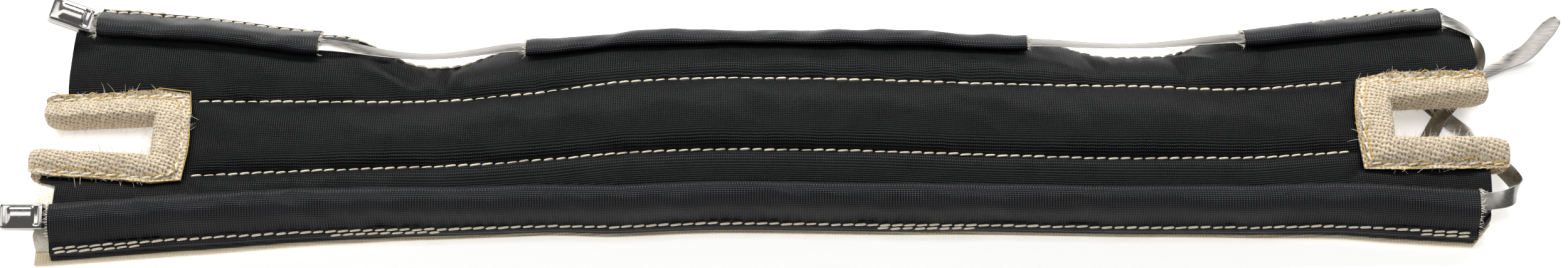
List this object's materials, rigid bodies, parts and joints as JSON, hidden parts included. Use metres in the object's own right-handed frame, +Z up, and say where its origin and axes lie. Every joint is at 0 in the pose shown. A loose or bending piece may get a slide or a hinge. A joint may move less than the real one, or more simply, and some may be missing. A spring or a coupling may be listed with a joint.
{
  "type": "exhaust heat shield",
  "caption": "Quilted insulation wrap laid open: black cloth over felt and a tan liner, bound notches in both ends, and steel ball-lock ties in casings along its long edges.",
  "frame": {"origin": "on the table, under the middle of the whole shield with its ties", "axes": "+X along the shield from the tie heads to the free ends of the bands, +Y across it towards the scalloped edge, +Z up through the outer cover"},
  "size_m": [0.4116, 0.077, 0.0172],
  "materials": {
    "black_cloth": "black silicone-coated woven glass cloth with a soft sheen",
    "casing_cloth": "black coated cloth, smoother and bluer than the cover",
    "felt": "off-white needled glass felt",
    "liner_cloth": "tan plain-woven glass cloth, uncoated",
    "knit_tape": "tan knitted glass tape with loose fibres",
    "thread": "cream sewing thread",
    "band_steel": "stainless band, light satin",
    "head_steel": "stainless pressing, polished"
  },
  "bodies": {
    "root": {"outer_cover": "black_cloth", "insulation_core": "felt", "inner_liner": "liner_cloth", "near_casing": "casing_cloth", "far_casing_left": "casing_cloth", "far_casing_middle": "casing_cloth", "far_casing_right": "casing_cloth", "left_notch_binding": "knit_tape", "right_notch_binding": "knit_tape", "left_binding_seam": "thread", "right_binding_seam": "thread", "near_quilting_seam": "thread", "far_quilting_seam": "thread", "near_edge_seam": "thread", "far_edge_seam": "thread", "near_tie_band": "band_steel", "near_tie_head": "head_steel", "near_tie_locking_ball": "head_steel", "far_tie_band": "band_steel", "far_tie_head": "head_steel", "far_tie_locking_ball": "head_steel"}
  },
  "joints": []
}
